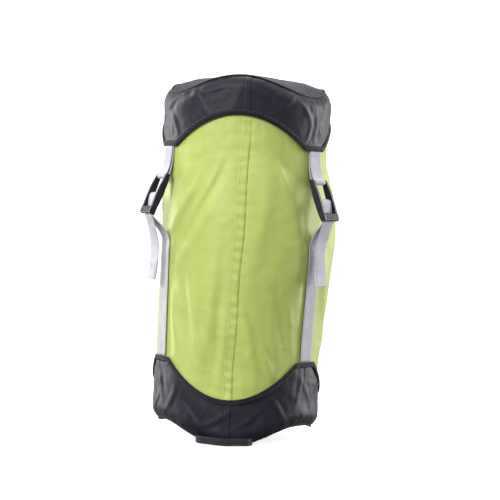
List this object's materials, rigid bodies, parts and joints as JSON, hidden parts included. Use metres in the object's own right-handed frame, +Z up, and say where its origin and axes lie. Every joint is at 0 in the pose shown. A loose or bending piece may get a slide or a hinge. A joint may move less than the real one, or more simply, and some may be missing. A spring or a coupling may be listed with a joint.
{
  "type": "compression sack",
  "caption": "Stuffed cylindrical fabric compression sack with scalloped base and lid caps, webbing compression straps in ladder locks, and a drawcord mouth under the lid.",
  "frame": {"origin": "middle of the flat of the base disc, on the floor", "axes": "+Z up along the sack from base to lid; -Y is the front, where a body seam and the grab handle are; +X to the right seen from the front"},
  "size_m": [0.2228, 0.2181, 0.4065],
  "materials": {
    "body_nylon": "satin ripless nylon",
    "cap_fabric": "coated nylon, slight sheen",
    "binding": "matte woven tape",
    "webbing": "ribbed webbing",
    "handle_webbing": "ribbed webbing",
    "plastic": "moulded acetal",
    "cord": "braided",
    "spring_steel": "drawn wire"
  },
  "bodies": {
    "base": {"base_disc": "cap_fabric", "grab_handle": "handle_webbing", "mouth_hem": "body_nylon", "drawcord": "cord", "drawcord_knot": "cord", "cord_lock_barrel": "plastic", "cord_lock_spring": "spring_steel", "base_skirt_1": "cap_fabric", "base_skirt_2": "cap_fabric", "base_skirt_3": "cap_fabric", "base_binding_1": "binding", "base_binding_2": "binding", "base_binding_3": "binding", "body_panel_1": "body_nylon", "body_panel_2": "body_nylon", "body_panel_3": "body_nylon", "standing_strap_1": "webbing", "standing_strap_2": "webbing", "standing_strap_3": "webbing"},
    "lid": {"lid_disc": "cap_fabric", "lid_skirt_1": "cap_fabric", "lid_skirt_2": "cap_fabric", "lid_skirt_3": "cap_fabric", "lid_binding_1": "binding", "lid_binding_2": "binding", "lid_binding_3": "binding", "lid_tab_1": "webbing", "lid_tab_2": "webbing", "lid_tab_3": "webbing", "strap_tail_1": "webbing", "strap_tail_2": "webbing", "strap_tail_3": "webbing"},
    "cord_lock_button": {"cord_lock_button": "plastic"},
    "ladder_lock_1": {"ladder_lock_1": "plastic", "strap_turn_1": "webbing"},
    "tail_end_1": {"tail_hem_1": "webbing"},
    "ladder_lock_2": {"ladder_lock_2": "plastic", "strap_turn_2": "webbing"},
    "tail_end_2": {"tail_hem_2": "webbing"},
    "ladder_lock_3": {"ladder_lock_3": "plastic", "strap_turn_3": "webbing"},
    "tail_end_3": {"tail_hem_3": "webbing"}
  },
  "joints": [
    {"name": "lid_travel", "type": "slide", "parent": "base", "child": "lid", "axis": [0, 0, 1], "range_m": [-0.025, 0.025], "deforming": ["standing_strap_1", "standing_strap_2", "standing_strap_3"]},
    {"name": "lock_tilt_1", "type": "hinge", "parent": "lid", "child": "ladder_lock_1", "pos_m": [0.08626, -0.0498, 0.291], "axis": [-0.5, -0.866, 0], "range_deg": [0, 30], "deforming": ["strap_tail_1"]},
    {"name": "tail_slide_1", "type": "slide", "parent": "lid", "child": "tail_end_1", "axis": [0, 0, 1], "range_m": [-0.025, 0.025]},
    {"name": "lock_tilt_2", "type": "hinge", "parent": "lid", "child": "ladder_lock_2", "pos_m": [0, 0.0996, 0.291], "axis": [1, 0, 0], "range_deg": [0, 30], "deforming": ["strap_tail_2"]},
    {"name": "tail_slide_2", "type": "slide", "parent": "lid", "child": "tail_end_2", "axis": [0, 0, 1], "range_m": [-0.025, 0.025]},
    {"name": "lock_tilt_3", "type": "hinge", "parent": "lid", "child": "ladder_lock_3", "pos_m": [-0.08626, -0.0498, 0.291], "axis": [-0.5, 0.866, 0], "range_deg": [0, 30], "deforming": ["strap_tail_3"]},
    {"name": "tail_slide_3", "type": "slide", "parent": "lid", "child": "tail_end_3", "axis": [0, 0, 1], "range_m": [-0.025, 0.025]},
    {"name": "cord_lock_press", "type": "slide", "parent": "base", "child": "cord_lock_button", "axis": [-1, 0, 0], "range_m": [0, 0.0025], "stiffness_N_per_m": 250, "deforming": ["cord_lock_spring"]}
  ],
  "couplings": [
    {"joint": "tail_slide_1", "follows": "lid_travel", "ratio": 1},
    {"joint": "tail_slide_2", "follows": "lid_travel", "ratio": 1},
    {"joint": "tail_slide_3", "follows": "lid_travel", "ratio": 1}
  ]
}
